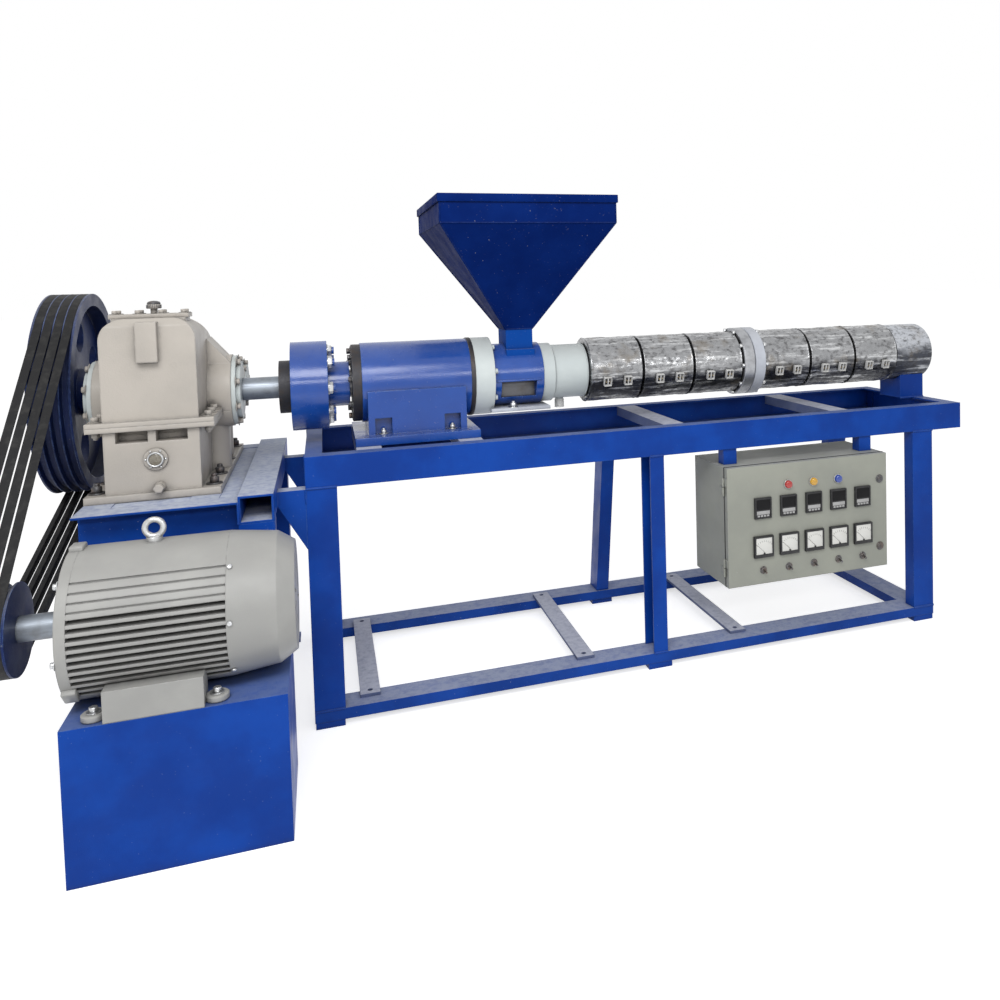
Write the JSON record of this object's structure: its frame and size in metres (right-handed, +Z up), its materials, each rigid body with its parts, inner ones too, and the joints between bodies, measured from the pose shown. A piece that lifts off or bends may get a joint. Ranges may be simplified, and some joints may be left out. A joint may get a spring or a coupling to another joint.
{
  "type": "plastic extruder",
  "caption": "Single-screw plastic extruder: belt-driven gearbox, thrust housing, heated barrel with hopper, and a control cabinet hung under a channel-steel table.",
  "frame": {"origin": "on the floor under the middle of the machine's box", "axes": "+X along the barrel towards its discharge end, +Y from the control cabinet's side to the rear, +Z up"},
  "size_m": [3.132, 1.3182, 1.595],
  "materials": {
    "frame_blue": "gloss enamel",
    "housing_blue": "gloss enamel",
    "hopper_blue": "enamel on sheet",
    "gearbox_paint": "satin enamel on cast iron",
    "motor_paint": "satin enamel on cast iron",
    "cream_paint": "satin enamel",
    "cabinet_paint": "powder coat",
    "bare_steel": "turned",
    "dark_iron": "dark paint",
    "band_sheet": "thin polished sheet",
    "zinc": "zinc plated",
    "belt_rubber": "matt",
    "black_plastic": "moulded",
    "lamp_plastic": "clear moulded"
  },
  "bodies": {
    "frame": {"top_rails": "frame_blue", "top_end_rails": "frame_blue", "top_cross_bars": "frame_blue", "front_legs": "frame_blue", "rear_legs": "frame_blue", "bottom_rails": "frame_blue", "bottom_ties": "frame_blue", "table_feet": "bare_steel", "pedestal_beams": "frame_blue", "pedestal_cross_beams": "frame_blue", "pedestal_posts": "frame_blue", "motor_base": "frame_blue", "gearbox_lower_case": "gearbox_paint", "gearbox_upper_cover": "gearbox_paint", "inspection_cover": "gearbox_paint", "gearbox_fittings": "gearbox_paint", "bearing_caps": "gearbox_paint", "motor_body": "motor_paint", "motor_end_shield": "motor_paint", "fan_cowl": "motor_paint", "lifting_eye": "zinc", "thrust_housing": "housing_blue", "thrust_end_plate": "dark_iron", "barrel_mount_flange": "cream_paint", "feed_throat": "housing_blue", "throat_ring": "cream_paint", "water_jacket": "cream_paint", "barrel": "bare_steel", "heater_bands_feed": "band_sheet", "heater_bands_die": "band_sheet", "barrel_flanges": "cream_paint", "barrel_head": "band_sheet", "barrel_post": "frame_blue", "hopper": "hopper_blue", "cabinet_shell": "cabinet_paint", "cabinet_hangers": "frame_blue", "v_belts": "belt_rubber"},
    "door": {"cabinet_door": "cabinet_paint", "controllers": "black_plastic", "meters": "black_plastic", "pilot_lamps": "lamp_plastic", "toggle_switches": "zinc", "door_locks": "zinc"},
    "screw_line": {"output_shaft": "bare_steel", "coupling_gear_half": "dark_iron", "coupling_drum": "housing_blue", "screw_core": "bare_steel", "screw_flight": "bare_steel"},
    "input_line": {"driven_pulley": "dark_iron", "input_shaft": "bare_steel"},
    "motor_line": {"motor_pulley": "dark_iron", "motor_shaft": "bare_steel"}
  },
  "joints": [
    {"name": "door_swing", "type": "hinge", "parent": "frame", "child": "door", "pos_m": [0.521, -0.17385, 0.464], "axis": [0, 0, -1], "range_deg": [0, 110]},
    {"name": "input_spin", "type": "hinge", "parent": "frame", "child": "input_line", "pos_m": [-1.5, 0.3459, 1.002], "axis": [1, 0, 0], "continuous": true},
    {"name": "screw_spin", "type": "hinge", "parent": "frame", "child": "screw_line", "pos_m": [-0.894, 0.1409, 1.002], "axis": [1, 0, 0], "continuous": true},
    {"name": "motor_spin", "type": "hinge", "parent": "frame", "child": "motor_line", "pos_m": [-1.5, -0.4841, 0.538], "axis": [1, 0, 0], "continuous": true}
  ],
  "couplings": [
    {"joint": "screw_spin", "follows": "input_spin", "ratio": 0.125},
    {"joint": "motor_spin", "follows": "input_spin", "ratio": 3}
  ]
}
